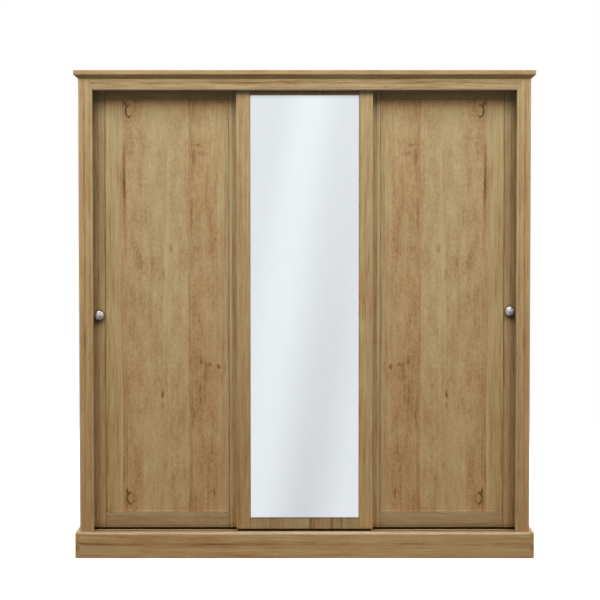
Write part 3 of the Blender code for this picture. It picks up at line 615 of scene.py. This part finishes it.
# Least and greatest width of random staves.
NARROW = (0.012, 0.030)
FINE = (0.004, 0.015)
FOOT_REACH, SEAM_REACH, RIM_REACH = 0.030, 0.003, 0.0035  # reach of the painted shade at a door's foot, and of each dark joint
HALO_DROP, HALO_HALF_WIDTH, HALO_HALF_HEIGHT = 0.004, 0.031, 0.036  # a painted shadow round each knob, a little below it
mirror_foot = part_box("mirror_door_bottom_rail")[0].z
for side, flip in (("left", False), ("right", True)):
    ends = [end.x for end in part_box(side + "_face_stile")]
    # painted highlights along both edges of the face stile, and painted shade darker towards the
    # floor
    dress_board(
        side + "_face_stile", "X", "Z", 11, figure=FACE_STILE_FIGURE,
        flip=flip, worn=[("X", end, 0.006, 0.25) for end in ends], wild=0.05,
        shade=(1.03, 1.0, 0.96), grime=[("Z", 0.0, 1.9, 0.15)],
    )
    dress_board(side + "_side_panel", "Y", "Z", 21 + flip, wild=0.25)
    dress_board(side + "_partition", "Y", "Z", 31 + flip, wild=0.2)
    dress_board("cornice_moulding_" + side, "Z", "Y", 41, NARROW, 0.05)
    dress_board("plinth_side_" + side, "Z", "Y", 46, NARROW, 0.08, shade=(1.0, 0.93, 0.84))
    door = side + "_door"
    # painted shade at the door's foot, over the gap under it
    foot_shade = [("Z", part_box(door + "_bottom_rail")[0].z, FOOT_REACH, 0.55)]
    seams = [("X", end.x, SEAM_REACH, 0.7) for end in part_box(door + "_bottom_rail")]
    knob = box_middle(door + "_knob")[2]
    across = -knob.x if flip else knob.x
    halo = (across, knob.z - HALO_DROP, HALO_HALF_WIDTH, HALO_HALF_HEIGHT, 0.9)
    outer, middle = ("left", "right") if side == "left" else ("right", "left")
    # painted shade: the outer stile darker, as in the face stile's shadow, and a painted shadow
    # round its knob
    dress_board(
        f"{door}_{outer}_stile", "X", "Z", 52, figure=OUTER_STILE_FIGURE,
        flip=flip, tone=-0.05, shade=(0.94, 0.91, 0.86), handled=halo, grime=foot_shade + seams,
    )
    # painted light: the middle stile lifted paler, out of the mirror door's shadow
    dress_board(
        f"{door}_{middle}_stile", "X", "Z", 53, FINE, 0.12,
        flip=flip, tone=0.07, shade=(1.13, 1.15, 1.18), grime=foot_shade + seams,
    )
    # painted shade: the top rail darkened and reddened, as in the fascia's shadow
    dress_board(door + "_top_rail", "Z", "X", 54, NARROW, 0.06, shade=(1.05, 0.89, 0.88))
    # painted shade: the bottom rail darker, low down by the gap
    dress_board(
        door + "_bottom_rail", "Z", "X", 55, NARROW, 0.09, shade=(0.78, 0.84, 0.96), grime=foot_shade
    )
    low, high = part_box(door + "_panel")
    # dark joint lines round each panel's rim, painted shade on its lower bevel and painted light
    # close under its top rail
    rims = []
    for corner in (low, high):
        rims += [("X", corner.x, RIM_REACH, 0.75), ("Z", corner.z, RIM_REACH, 0.75)]
    rims += [("Z", low.z, 0.022, 0.16), ("Z", high.z, 0.080, 1.0, PANEL_HEAD_PAINTED_LIGHT)]
    figured = oak(
        "oak_" + door + "_panel", "X", "Z", 7, PANEL_STAVES, PANEL_KNOTS, flip=flip, grime=rims
    )
    dress(door + "_panel", figured)
    # painted shade: the mirror door's stiles darker towards the foot, darkest at the gap
    dress_board(
        f"mirror_door_{side}_stile", "X", "Z", 61 + flip, FINE, 0.04, tone=-0.03,
        grime=[("Z", mirror_foot, 0.008, 0.6), ("Z", mirror_foot, 1.3, 0.04 if flip else 0.18)],
    )
# painted shade: the mirror door's top rail dark, as in the fascia's shadow
dress_board("mirror_door_top_rail", "X", "Z", 63, NARROW, 0.05, shade=(0.61, 0.50, 0.47))
# painted shade: the rail darker, and darkest along its upper and lower edges
dress_board(
    "mirror_door_bottom_rail", "X", "Z", 64, figure=MIRROR_RAIL_FIGURE, shade=(0.76, 0.81, 0.93),
    grime=[("Z", corner.z, 0.008, 0.6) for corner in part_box("mirror_door_bottom_rail")],
)
dress_board("mirror_backing", "X", "Z", 65)
# painted highlight along the fascia's lower edge
dress_board(
    "face_top_rail", "Z", "X", 71, figure=FASCIA_FIGURE,
    worn=[("Z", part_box("face_top_rail")[0].z, 0.008, 0.42)],
)
dress_board("top_board", "Y", "X", 72, tone=0.12, wild=0.25, shade=(1.0, 0.93, 0.83))
dress_board("cornice_moulding_front", "Z", "X", 73, NARROW, 0.04, shade=(1.03, 0.96, 0.99))
low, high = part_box("plinth_front")
# painted highlight along the plinth's rounded top edge and at its ends
dress_board(
    "plinth_front", "Z", "X", 74, figure=PLINTH_FIGURE,
    worn=[("Z", high.z, 0.011, 0.38), ("X", low.x, 0.003, 0.15), ("X", high.x, 0.003, 0.15)],
)
for seed, node in enumerate(("bottom_panel", "top_shelf", "centre_shelf_1", "centre_shelf_2"), 75):
    dress_board(node, "Y", "X", seed, wild=0.2)
dress("back_panel", hardboard("back_hardboard_fibre"))

CHROME = brushed("bright_chrome", (0.80, 0.80, 0.81), "X", 0.10, depth=0.000005)
ALUMINIUM = brushed("anodised_aluminium", (0.66, 0.66, 0.66), "X", 0.36)
ZINC = brushed("zinc_plate", (0.60, 0.61, 0.62), "Z", 0.42)
BROWN_PLASTIC = moulded("brown_plastic", (0.060, 0.034, 0.018), 0.5)
NYLON = moulded("nylon", (0.030, 0.029, 0.028), 0.45, 0.05)
# painted shade: near-black pile that darkens the gaps under the doors
GAP_SHADE_PILE = moulded("black_pile", (0.004, 0.004, 0.004), 0.95, 0.3, 0.04)
PALE_PLASTIC = moulded("pale_plastic", (0.56, 0.44, 0.27), 0.5, 0.05)
SILVER = silvered("silvered_glass")
GLASS_EDGE = ground_edge("glass_edge")

dress("upper_track", ALUMINIUM)
dress("lower_track_front", BROWN_PLASTIC)
dress("lower_track_rear", BROWN_PLASTIC)
for side in ("left", "right"):
    dress(side + "_hanging_rail", CHROME)
for node in NODES:
    if node.endswith("_roller_housing"):
        dress(node, ZINC)
    elif node.endswith(("_roller", "_top_guide")):
        dress(node, NYLON)

# ---------------------------------------------------------------- shapes


def piece(name, bm, materials, body):
    """Makes an object of a bmesh that is already in place, and sets it riding."""
    bmesh.ops.recalc_face_normals(bm, faces=bm.faces)
    mesh = bpy.data.meshes.new(name)
    bm.to_mesh(mesh)
    bm.free()
    for material in materials:
        mesh.materials.append(material)
    obj = bpy.data.objects.new(name, mesh)
    bpy.context.scene.collection.objects.link(obj)
    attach(obj, body)
    return obj


def turn(bm, profile, centre, axis, steps=48, index=0, angle=radians(35)):
    """Turns a profile of (radius, height) pairs about an axis through the centre."""
    spin = Vector((0, 0, 1)).rotation_difference(Vector(axis)).to_matrix().to_4x4()
    place = Matrix.Translation(centre) @ spin
    rings = []
    for radius, height in profile:
        if radius < 1e-7:
            rings.append([bm.verts.new(place @ Vector((0, 0, height)))])
            continue
        ring = []
        for step in range(steps):
            turned = 2 * pi * step / steps
            ring.append(
                bm.verts.new(place @ Vector((radius * cos(turned), radius * sin(turned), height)))
            )
        rings.append(ring)
    made = []
    for first, second in zip(rings, rings[1:]):
        for step in range(steps):
            after = (step + 1) % steps
            corners = [
                first[step % len(first)],
                first[after % len(first)],
                second[after % len(second)],
                second[step % len(second)],
            ]
            face = bm.faces.new(list(dict.fromkeys(corners)))
            face.material_index, face.smooth = index, True
            made.append(face)
    for face in made:
        for border in face.edges:
            if len(border.link_faces) == 2 and border.calc_face_angle(0.0) > angle:
                border.smooth = False
    return made


def smooth_profile(points, passes):
    """Rounds a coarse profile by passes of corner cutting that keep its ends."""
    for _ in range(passes):
        cut = [points[0]]
        for (r0, h0), (r1, h1) in zip(points, points[1:]):
            cut.append((r0 * 0.75 + r1 * 0.25, h0 * 0.75 + h1 * 0.25))
            cut.append((r0 * 0.25 + r1 * 0.75, h0 * 0.25 + h1 * 0.75))
        cut.append(points[-1])
        points = cut
    return points


def block(bm, low, high, bevel=0.0, index=0, segments=2):
    """An upright box with its edges eased."""
    made = bmesh.ops.create_cube(bm, size=1.0)["verts"]
    low, high = Vector(low), Vector(high)
    for vert in made:
        vert.co = (low + high) / 2 + Vector(
            c * s for c, s in zip(vert.co, high - low)
        )
    faces = {face for vert in made for face in vert.link_faces}
    for face in faces:
        face.material_index = index
    if bevel:
        edges = {edge for vert in made for edge in vert.link_edges}
        bmesh.ops.bevel(
            bm, geom=list(edges), offset=bevel, segments=segments, affect="EDGES", profile=0.5
        )


# ---------------------------------------------------------------- knobs


def spun_nickel(name):
    """Nickel brushed in rings on the knob's face, for a knob at its own origin that faces -Y.

    Its brightness round the axis is a painted reflection.
    """
    look = Look(name)
    point = look.place()
    x, y, z = look.parts(point)
    radius = look.vector("LENGTH", look.whole(x, 0.0, z))
    rings = look.noise(look.whole(look.math("MULTIPLY", radius, 5200.0), y, 0.0), 2.0, 0.6)
    marks = look.noise(look.vector("MULTIPLY", point, (240.0, 240.0, 240.0)), 3.0)
    angle = look.span(look.math("ARCTAN2", z, x), -pi, pi, smooth=False)
    # painted reflection: brightness by the angle round the knob's axis
    rays = look.nodes.new("ShaderNodeValToRGB")
    rays.color_ramp.interpolation = "EASE"
    while len(rays.color_ramp.elements) < len(KNOB_PAINTED_REFLECTION):
        rays.color_ramp.elements.new(1.0)
    for element, (turn_share, level) in zip(rays.color_ramp.elements, KNOB_PAINTED_REFLECTION):
        element.position, element.color = turn_share, (level, level, level, 1.0)
    look.join(angle, rays.inputs[0])
    shade = look.math("MULTIPLY_ADD", marks, 0.14, 0.93)
    shade = look.math("MULTIPLY", shade, look.math("MULTIPLY", rays.outputs[0], KNOB_BRIGHTNESS))
    tangent = look.nodes.new("ShaderNodeTangent")
    tangent.direction_type, tangent.axis = "RADIAL", "Y"
    look.surface(
        Base_Color=look.mix(1.0, NICKEL_COLOR, look.whole(shade, shade, shade), "MULTIPLY"),
        Metallic=1.0,
        Roughness=look.math("MULTIPLY_ADD", rings, 0.16, 0.24),
        Anisotropic=0.8,
        Anisotropic_Rotation=0.25,
        Tangent=tangent.outputs[0],
        Normal=look.bump(rings, 0.00002, 0.6),
    )
    return look.material


NICKEL_COLOR = (0.56, 0.545, 0.52)
# gain of the painted reflection on the knob's face
KNOB_BRIGHTNESS = 1.5
KNOB_PAINTED_REFLECTION = (  # painted reflection of the spun face round the axis, from the left, by way of the bottom
    (0.00, 0.62),
    (0.12, 0.55),
    (0.19, 0.32),
    (0.27, 0.18),
    (0.38, 0.30),
    (0.48, 0.46),
    (0.57, 0.78),
    (0.62, 0.84),
    (0.68, 0.42),
    (0.73, 0.52),
    (0.80, 0.92),
    (0.90, 0.80),
    (1.00, 0.62),
)
KNOB_PROFILE = (  # shares of the head's radius and of the knob's reach
    (0.00, 1.000),
    (0.35, 0.994),
    (0.70, 0.975),
    (0.88, 0.950),
    (0.96, 0.910),
    (1.00, 0.840),
    (0.97, 0.720),
    (0.76, 0.560),
    (0.392, 0.380),
    (0.356, 0.240),
    (0.555, 0.100),
    (0.603, 0.050),
)
KNOB_FOOT = (0.603, 0.0)

for side in ("left", "right"):
    node = side + "_door_knob"
    low, high, middle = box_middle(node)
    head, reach = (high.x - low.x) / 2, high.y - low.y
    rounded = smooth_profile(list(KNOB_PROFILE), 2) + [KNOB_FOOT, (0.0, 0.0)]
    profile = [(r * head, h * reach) for r, h in rounded]
    seat = Vector((middle.x, high.y, middle.z))
    bm = bmesh.new()
    turn(bm, profile, Vector((0, 0, 0)), (0, -1, 0), 96)
    nickel = spun_nickel(node + "_nickel")
    knob = piece(side + "_knob_turned", bm, [nickel], side + "_door")
    knob.matrix_world = Matrix.Translation(seat)
    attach(knob, side + "_door")
    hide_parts(node)

# ---------------------------------------------------------------- mirror

ARRIS, ARRIS_DEPTH = 0.0018, 0.0016
low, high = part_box("mirror")
bm = bmesh.new()
corners = {}
for level, (y, inset) in enumerate(((high.y, 0.0), (low.y + ARRIS_DEPTH, 0.0), (low.y, ARRIS))):
    corners[level] = [
        bm.verts.new((x, y, z))
        for x, z in (
            (low.x + inset, low.z + inset),
            (high.x - inset, low.z + inset),
            (high.x - inset, high.z - inset),
            (low.x + inset, high.z - inset),
        )
    ]
bm.faces.new(corners[2]).material_index = 0
bm.faces.new(corners[0]).material_index = 1
for level in (0, 1):
    for step in range(4):
        after = (step + 1) % 4
        a, b = corners[level], corners[level + 1]
        bm.faces.new((a[step], a[after], b[after], b[step])).material_index = 1
plate = piece("mirror_plate", bm, [SILVER, GLASS_EDGE], "mirror_door")
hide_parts("mirror")

# ---------------------------------------------------------------- fittings


def screw_head(bm, centre, axis, radius, rise, index=0):
    """A pan head with a round recess."""
    profile = [
        (0.0, rise * 0.45),
        (radius * 0.16, rise * 0.45),
        (radius * 0.34, rise * 0.97),
        (radius * 0.60, rise),
        (radius * 0.86, rise * 0.72),
        (radius, rise * 0.25),
        (radius, 0.0),
    ]
    turn(bm, profile, Vector(centre), axis, 20, index)


# Flanged sockets carry the ends of the hanging rails.
SOCKET_RADIUS, SOCKET_LENGTH, FLANGE_RADIUS, FLANGE_THICKNESS = 0.0150, 0.014, 0.0245, 0.0028
for side in ("left", "right"):
    low, high, middle = box_middle(side + "_hanging_rail")
    tube = (high.z - low.z) / 2
    for word, x, way in (("left", low.x, 1), ("right", high.x, -1)):
        bm = bmesh.new()
        profile = [
            (tube + 0.0001, 0.0),
            (FLANGE_RADIUS, 0.0),
            (FLANGE_RADIUS, FLANGE_THICKNESS * 0.6),
            (FLANGE_RADIUS - 0.0008, FLANGE_THICKNESS),
            (SOCKET_RADIUS + 0.0012, FLANGE_THICKNESS),
            (SOCKET_RADIUS, FLANGE_THICKNESS + 0.0012),
            (SOCKET_RADIUS, SOCKET_LENGTH - 0.0006),
            (SOCKET_RADIUS - 0.0006, SOCKET_LENGTH),
            (tube + 0.0001, SOCKET_LENGTH),
        ]
        turn(bm, profile, Vector((x, middle.y, middle.z)), (way, 0, 0), 64)
        for turned in (radians(90), radians(210), radians(330)):
            out = (SOCKET_RADIUS + FLANGE_RADIUS) / 2
            spot = (
                x + way * FLANGE_THICKNESS,
                middle.y + out * cos(turned),
                middle.z + out * sin(turned),
            )
            screw_head(bm, spot, (way, 0, 0), 0.0030, 0.0014, 1)
        piece(f"{side}_rail_{word}_socket", bm, [CHROME, ZINC], "wardrobe_body")

# Pins carry the two centre shelves.
bm = bmesh.new()
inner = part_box("right_partition")[0].x
for number in (1, 2):
    low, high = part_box(f"centre_shelf_{number}")
    for y in (low.y + 0.045, high.y - 0.060):
        for side in (-1, 1):
            profile = [
                (0.0, 0.0),
                (0.0055, 0.0),
                (0.0055, 0.0012),
                (0.0026, 0.0020),
                (0.0026, 0.0082),
                (0.0020, 0.0088),
                (0.0, 0.0088),
            ]
            spot = Vector((side * inner, y, low.z - 0.0030))
            turn(bm, profile, spot, (-side, 0, 0), 24)
piece("centre_shelf_pins", bm, [ZINC], "wardrobe_body")

# Discs cover the fittings that hold the fixed boards.
CAP_RADIUS, CAP_RISE = 0.0085, 0.0010
bm = bmesh.new()


def cap(centre, axis):
    profile = [
        (0.0, CAP_RISE * 0.55),
        (CAP_RADIUS * 0.30, CAP_RISE * 0.55),
        (CAP_RADIUS * 0.36, CAP_RISE),
        (CAP_RADIUS * 0.86, CAP_RISE),
        (CAP_RADIUS, CAP_RISE * 0.5),
        (CAP_RADIUS, 0.0),
    ]
    turn(bm, profile, Vector(centre), axis, 32)


shelf_low, shelf_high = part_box("top_shelf")
bottom_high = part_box("bottom_panel")[1].z
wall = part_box("right_side_panel")[0].x
partition_low, partition_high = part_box("right_partition")
for side in (-1, 1):
    for y in (shelf_low.y + 0.06, shelf_high.y - 0.06):
        cap((side * (wall - 0.034), y, shelf_low.z), (0, 0, -1))
        cap((side * (partition_low.x), y, partition_high.z - 0.034), (-side, 0, 0))
        cap((side * (partition_low.x), y, bottom_high + 0.034), (-side, 0, 0))
piece("fitting_caps", bm, [PALE_PLASTIC], "wardrobe_body")

# Strips join the three sheets of the back panel, and pins hold them.
low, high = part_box("back_panel")
strip_top = high.z - 0.010
STRIP_HALF, STRIP_RISE = 0.0145, 0.0012
for word, side in (("left", -1), ("right", 1)):
    x = side * (partition_low.x + partition_high.x) / 2
    bm = bmesh.new()
    block(
        bm,
        (x - STRIP_HALF, high.y, low.z + 0.004),
        (x + STRIP_HALF, high.y + STRIP_RISE, strip_top),
        0.0005,
    )
    block(
        bm,
        (x - 0.0030, high.y + STRIP_RISE * 0.6, low.z + 0.004),
        (x + 0.0030, high.y + STRIP_RISE * 1.5, strip_top),
        0.0004,
    )
    piece(word + "_back_strip", bm, [BROWN_PLASTIC], "wardrobe_body")

bm = bmesh.new()
pin_profile = [(0.0, 0.0008), (0.0012, 0.0007), (0.0021, 0.0003), (0.0021, 0.0)]


def pin(x, y, z):
    turn(bm, pin_profile, Vector((x, y, z)), (0, 1, 0), 12)


PIN_PITCH, PIN_MARGIN = 0.15, 0.02
STRIP_PIN_OFFSET, STRIP_PINS, LOWEST_STRIP_PIN = 0.0095, 10, 0.17
row = high.x - low.x - 2 * PIN_MARGIN
count = int(row / PIN_PITCH)
for z in (bottom_high - 0.008, (shelf_low.z + shelf_high.z) / 2):
    for step in range(count + 1):
        pin(low.x + PIN_MARGIN + step * row / count, high.y, z)
for side in (-1, 1):
    for offset in (-STRIP_PIN_OFFSET, STRIP_PIN_OFFSET):
        x = side * (partition_low.x + partition_high.x) / 2 + offset
        for step in range(STRIP_PINS):
            pin(x, high.y + STRIP_RISE, LOWEST_STRIP_PIN + step * PIN_PITCH)
piece("back_panel_pins", bm, [ZINC], "wardrobe_body")

# A screw through each outer stile holds its knob.
for side in ("left", "right"):
    low, high, middle = box_middle(side + "_door_knob")
    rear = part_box(side + "_door_panel")[1].y
    rear = max(rear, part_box(f"{side}_door_{side}_stile")[1].y)
    bm = bmesh.new()
    washer = [(0.0, 0.0011), (0.0062, 0.0011), (0.0068, 0.0006), (0.0068, 0.0)]
    turn(bm, washer, Vector((middle.x, rear, middle.z)), (0, 1, 0), 32)
    screw_head(bm, (middle.x, rear + 0.0011, middle.z), (0, 1, 0), 0.0042, 0.0024)
    piece(side + "_knob_screw", bm, [ZINC], side + "_door")

# A strip of black pile along the front of each door's lower edge fills the gap under the door with
# black: painted shade.
PILE_DEPTH, PILE_INSET, PILE_CLEARANCE, BRISTLE = 0.0016, 0.0012, 0.0006, 0.0022
for door in ("left_door", "right_door", "mirror_door"):
    low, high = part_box(door + "_left_stile")[0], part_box(door + "_right_stile")[1]
    bm = bmesh.new()
    draw = random.Random(len(door))
    under = bottom_high + PILE_CLEARANCE
    at = low.x + 0.004
    while at < high.x - 0.004 - BRISTLE:
        droop = draw.uniform(0.0, 0.0006)
        block(
            bm,
            (at, low.y + PILE_INSET, under + droop),
            (at + BRISTLE * 0.96, low.y + PILE_INSET + PILE_DEPTH, low.z - 0.0002),
        )
        at += BRISTLE
    piece(door + "_gap_shade_strip", bm, [GAP_SHADE_PILE], door)

# ---------------------------------------------------------------- floor, light and camera


def white_world():
    """White for the eye, a soft grey for matt surfaces and a cool pale grey for glossy ones."""
    world = bpy.data.worlds.new("studio")
    bpy.context.scene.world = world
    world.use_nodes = True
    nodes, links = world.node_tree.nodes, world.node_tree.links
    nodes.clear()
    rays = nodes.new("ShaderNodeLightPath")
    eye, matt, gloss = (nodes.new("ShaderNodeBackground") for _ in range(3))
    eye.inputs["Color"].default_value = (1, 1, 1, 1)
    eye.inputs["Strength"].default_value = WHITE_WORLD
    matt.inputs["Color"].default_value = (1, 1, 1, 1)
    matt.inputs["Strength"].default_value = AMBIENT
    gloss.inputs["Color"].default_value = (*MIRROR_GREY, 1)
    gloss.inputs["Strength"].default_value = 1.0
    first, second = nodes.new("ShaderNodeMixShader"), nodes.new("ShaderNodeMixShader")
    links.new(rays.outputs["Is Glossy Ray"], first.inputs[0])
    links.new(matt.outputs[0], first.inputs[1])
    links.new(gloss.outputs[0], first.inputs[2])
    links.new(rays.outputs["Is Camera Ray"], second.inputs[0])
    links.new(first.outputs[0], second.inputs[1])
    links.new(eye.outputs[0], second.inputs[2])
    output = nodes.new("ShaderNodeOutputWorld")
    links.new(second.outputs[0], output.inputs[0])


def area_light(name, place, target, size, power):
    light = bpy.data.lights.new(name, "AREA")
    light.shape, light.size, light.size_y = "RECTANGLE", *size
    light.energy = power
    obj = bpy.data.objects.new(name, light)
    obj.location = place
    aim = Vector(target) - Vector(place)
    obj.rotation_euler = aim.to_track_quat("-Z", "Y").to_euler()
    obj.visible_camera = False
    bpy.context.scene.collection.objects.link(obj)
    return obj


FLOOR_SIZE = 12.0
FLOOR_FADE = (2.6, 5.2)
FLOOR_GLOW = 0.55
look = Look("pale_floor")
spot = look.place()
grit = look.noise(look.vector("MULTIPLY", spot, (60.0, 60.0, 60.0)), 3.0)
far = look.vector("LENGTH", spot)
look.surface(
    Base_Color=look.ramp(grit, ((0.3, (0.90, 0.90, 0.90)), (0.7, (0.94, 0.94, 0.94)))),
    Roughness=0.9,
    Specular_IOR_Level=0.0,
    Alpha=look.span(far, FLOOR_FADE[1], FLOOR_FADE[0]),
    Emission_Color=(1.0, 1.0, 1.0),
    Emission_Strength=FLOOR_GLOW,
)
mesh = bpy.data.meshes.new("floor")
bm = bmesh.new()
bmesh.ops.create_grid(bm, x_segments=1, y_segments=1, size=FLOOR_SIZE / 2)
bm.to_mesh(mesh)
bm.free()
mesh.materials.append(look.material)
floor = bpy.data.objects.new("floor", mesh)
floor.location.z = -0.0005
bpy.context.scene.collection.objects.link(floor)
floor.visible_diffuse = False
floor.visible_glossy = False

# A tall card behind the camera, which only the mirror and the metal see. It holds two slanting
# bands of light. Its places are those of the mirror, seen from the camera and thrown back.
CARD_Y, CARD_HALF_WIDTH, CARD_LOW, CARD_HIGH = -12.0, 2.0, -4.0, 5.0
CARD_SLANT = 0.15  # how far the bands lean, across for each metre up
BAND_LEVEL, BAND_SHIFT = 1.72, -0.013  # the light band crosses this height at this place
LIGHT_BAND, DARK_BAND = (0.0, 0.15), (0.215, 0.17)  # places and half widths
look = Look("light_card")
mirror_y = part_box("mirror")[0].y
reach = 1 + (mirror_y - CARD_Y) / (CAMERA_DISTANCE + mirror_y - cad_box[0].y)
x, y, z = look.parts(look.place())
across = look.math("DIVIDE", x, reach)
up = look.math("DIVIDE", look.math("ADD", z, (reach - 1) * CAMERA_HEIGHT), reach)
lean = look.math("MULTIPLY_ADD", up, -CARD_SLANT, BAND_LEVEL * CARD_SLANT + BAND_SHIFT)
along = look.math("ADD", across, lean)


def band(place, width):
    """1 in the middle of a slanting band and 0 past its width."""
    return look.span(look.math("ABSOLUTE", look.math("SUBTRACT", along, place)), width, 0.0)


gain, loss = (
    look.span(up, low, high, least, most, smooth=False)
    for low, high, least, most in ((0.1, 1.75, 0.03, 0.13), (1.75, 0.1, 0.0, 0.17))
)
light = look.math("MULTIPLY", band(*LIGHT_BAND), gain)
shade = look.math("MULTIPLY", band(*DARK_BAND), loss)
level = look.math("ADD", look.math("SUBTRACT", light, shade), 1.0)
emit = look.nodes.new("ShaderNodeEmission")
emit.inputs["Color"].default_value = (*MIRROR_GREY, 1.0)
look.links.new(level, emit.inputs["Strength"])
output = next(node for node in look.nodes if node.type == "OUTPUT_MATERIAL")
look.nodes.remove(look.shader)
look.links.new(emit.outputs[0], output.inputs[0])
mesh = bpy.data.meshes.new("light_card")
card_corners = ((-1, CARD_LOW), (1, CARD_LOW), (1, CARD_HIGH), (-1, CARD_HIGH))
mesh.from_pydata(
    [(way * CARD_HALF_WIDTH, CARD_Y, z) for way, z in card_corners], [], [(0, 1, 2, 3)]
)
mesh.materials.append(look.material)
card = bpy.data.objects.new("light_card", mesh)
bpy.context.scene.collection.objects.link(card)
card.visible_camera = card.visible_diffuse = card.visible_shadow = False

white_world()
area_light("rear_fill", REAR_FILL_PLACE, FILL_TARGET, REAR_FILL_SIZE, REAR_FILL_POWER)
for side in (-1, 1):
    place = (side * KEY_PLACE[0], *KEY_PLACE[1:])
    target = (side * KEY_TARGET[0], *KEY_TARGET[1:])
    key = area_light(f"key_{side + 1}", place, target, KEY_SIZE, KEY_POWER)
    key.data.spread = KEY_SPREAD
    place = (side * SIDE_FILL_PLACE[0], *SIDE_FILL_PLACE[1:])
    area_light(f"side_fill_{side + 1}", place, FILL_TARGET, SIDE_FILL_SIZE, SIDE_FILL_POWER)

camera_data = bpy.data.cameras.new("camera")
camera_data.sensor_width = SENSOR
camera_data.lens = CAMERA_LENS
camera_data.shift_x = CAMERA_SHIFT
camera = bpy.data.objects.new("camera", camera_data)
camera.location = (0.0, cad_box[0].y - CAMERA_DISTANCE, CAMERA_HEIGHT)
camera.rotation_euler = (radians(90.0 - CAMERA_PITCH), 0.0, 0.0)
bpy.context.scene.collection.objects.link(camera)
bpy.context.scene.camera = camera
bpy.context.scene.view_settings.view_transform = "Standard"
